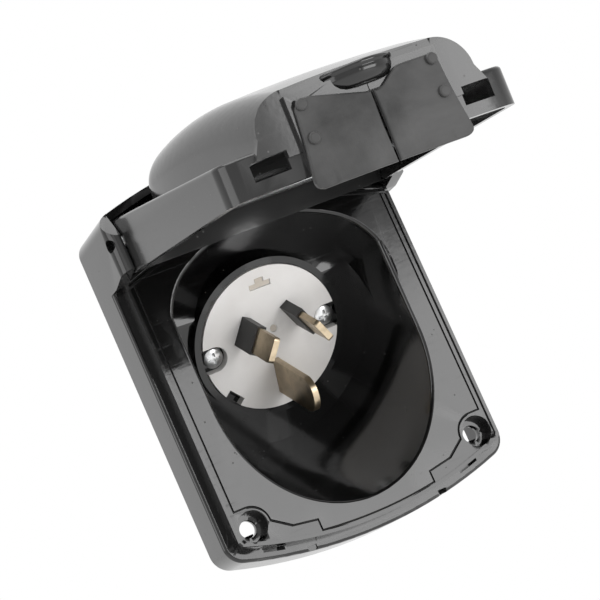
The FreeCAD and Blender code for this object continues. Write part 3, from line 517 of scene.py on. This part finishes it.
def bush():
    """The wiring bush: a ribbed, tapered rubber grommet with a rounded lip."""
    far, bore = 34.0, 5.0
    outline = [(bore - 1.35, -far + 2.9), (bore - 1.2, -far + 3.0), (bore + 2.3, -far + 3.0),
               (bore + 2.55, -far + 2.75), (bore + 2.55, -far + 1.8), (bore + 2.4, -far + 1.66),
               (bore + 1.44, -far + 1.64), (bore + 1.44, -far - 0.06), (bore + 2.8, -far - 0.06),
               (bore + 2.95, -far - 0.3), (bore + 2.6, -far - 0.9), (bore + 2.2, -far - 1.0),
               (bore + 2.3, -far - 1.5), (bore + 1.7, -far - 1.75), (bore + 1.75, -far - 2.3),
               (bore + 1.1, -far - 2.6), (bore + 0.8, -far - 3.1), (bore - 0.9, -far - 3.15),
               (bore - 1.3, -far - 2.9)]
    aside = 8.5
    turns = 72
    points = []
    for k in range(turns):
        turn = 2 * math.pi * k / turns
        for radius, level in outline:
            points.append(inlet_place(aside + radius * math.cos(turn), radius * math.sin(turn), level))
    faces = ring_faces(turns, len(outline))
    return made("wiring_bush", points, faces, "base", "gasket_rubber", ("cord_gland",), 40.0)


bush()


def face_seal():
    """The lid seal in the face: along the sides, the bowed ends and inside the two lower fixing holes."""
    half, top, top_bow, bottom, bottom_bow = 33.3, 32.7, 5.9, -44.1, 4.8
    right = [(x, top - top_bow * (x / half) ** 2) for x in [half * k / 14 for k in range(15)]]
    right += [(half, -31.4)]
    hole = (30.5, -36.0)
    turn = arc(hole, 4.6, 90, 182, 12) + [(21.4, -39.4), (15.2, -40.4)]
    base_line = [(x, bottom + bottom_bow * (x / half) ** 2) for x in [15.2 * (1 - k / 8) for k in range(9)]]
    path = right + turn + base_line
    mirrored = [(-x, z) for x, z in path[1:-1]][::-1]
    return swept("face_seal_cord", (path + mirrored)[::-1], cord_section(0.4, 15.55, 15.99), "base",
                 "gasket_rubber", ("lid_seal",))


face_seal()

# ---------------------------------------------------------------- mould marks on the disc


def recess_mark(name, outline, low, high):
    """A small piece filling a shallow recess in the disc, with a softened rim."""
    centre = Vector((sum(p[0] for p in outline), sum(p[1] for p in outline))) / len(outline)
    rings = []
    for shrink, level in ((0.0, low), (0.0, high - 0.06), (0.06, high)):
        ring = []
        for x, y in outline:
            inward = (centre - Vector((x, y))).normalized() * (0.08 + shrink)
            ring.append(inlet_place(x + inward.x, y + inward.y, level))
        rings.append(ring)
    count = len(outline)
    points = [p for ring in rings for p in ring]
    faces = [tuple(range(count))[::-1], tuple(2 * count + k for k in range(count))]
    faces += ring_faces(3, count, closed=False)
    return made(name, points, faces, "base", "disc_plastic", (), 30.0)


# painted shade: the recessed marks get a darker colour than the disc, standing in for the shade inside their
# recesses
recess_shade_material = matt_plastic("recess_shade_plastic", (0.47, 0.42, 0.36, 1), (0.58, 0.53, 0.47, 1), 0.5, 2600.0)
tee = [(-2.7, 13.3), (2.9, 13.3), (2.9, 14.5), (1.2, 14.5),
       (1.2, 15.7), (-1.0, 15.7), (-1.0, 14.5), (-2.7, 14.5)]
dot = arc((1.2, 1.9), 0.95, 0, 360, 24)[:-1]
for piece in (recess_mark("mould_mark", tee, -0.5, -0.32), recess_mark("centre_dot", dot, -0.3, -0.18)):
    piece.data.materials.clear()
    piece.data.materials.append(recess_shade_material)

# ---------------------------------------------------------------- stage

camera_data = bpy.data.cameras.new("camera")
camera_data.sensor_width = 36.0
camera_data.lens = 36.0 * 2277.3 / 600.0
camera_data.clip_start = 0.01
camera = bpy.data.objects.new("camera", camera_data)
scene.collection.objects.link(camera)
# the camera's place, in millimetres, and its axes were solved from the photograph
right = Vector((0.86740, -0.28735, -0.40626))
up = Vector((0.33806, -0.25881, 0.90484))
back = right.cross(up)
camera.matrix_world = Matrix.Translation(Vector((-193.60, -512.83, -59.83)) * MM) @ Matrix(
    (right, up, back)).transposed().to_4x4()
scene.camera = camera

MIDDLE = Vector((0.0, -0.03, 0.0))


def card(name, place, width, height, power):
    """A soft light card aimed at the middle of the object."""
    light = bpy.data.lights.new(name, "AREA")
    light.shape = "RECTANGLE"
    light.size, light.size_y = width, height
    light.energy = power
    obj = bpy.data.objects.new(name, light)
    scene.collection.objects.link(obj)
    obj.location = place
    obj.rotation_euler = (MIDDLE - Vector(place)).to_track_quat("-Z", "Y").to_euler()


card("front_right_card", (0.50, -0.86, -0.05), 0.6, 0.38, 3.6)
card("top_card", (-0.1, -0.3, 0.9), 0.9, 0.9, 7.5)
card("left_card", (-0.9, -0.2, 0.25), 0.6, 0.8, 3.0)


def flat_sheet(name, segments, width, height, place, material):
    """A flat piece of the stage."""
    mesh = bpy.data.meshes.new(name)
    work = bmesh.new()
    bmesh.ops.create_grid(work, x_segments=segments, y_segments=segments, size=0.5)
    bmesh.ops.scale(work, vec=(width, height, 1.0), verts=work.verts)
    work.to_mesh(mesh)
    work.free()
    mesh.materials.append(material)
    obj = bpy.data.objects.new(name, mesh)
    scene.collection.objects.link(obj)
    obj.location = place
    return obj


# a black flag that shows only in reflections
felt = Tree("felt")
felt.set(Base_Color=felt.mix(felt.noise(40.0), grey(0.003), grey(0.008)), Roughness=0.95)
flag = flat_sheet("flag", 4, 0.8, 0.52, (0.36, -0.80, 0.42), felt.material)
flag.rotation_euler = (MIDDLE - flag.location).to_track_quat("Z", "Y").to_euler()
flag.visible_camera = flag.visible_shadow = flag.visible_diffuse = False

world = bpy.data.worlds.new("studio")
world.use_nodes = True
background = world.node_tree.nodes["Background"]
background.inputs["Color"].default_value = (1.0, 1.0, 1.0, 1.0)
background.inputs["Strength"].default_value = 1.0
scene.world = world

paper = Tree("paper")
paper_colour = paper.mix(paper.noise(3.0), (0.93, 0.93, 0.93, 1), (0.96, 0.96, 0.955, 1))
paper.set(Base_Color=paper_colour, Roughness=0.8)
flat_sheet("floor", 24, 6.0, 6.0, (0, 0, -0.35), paper.material)
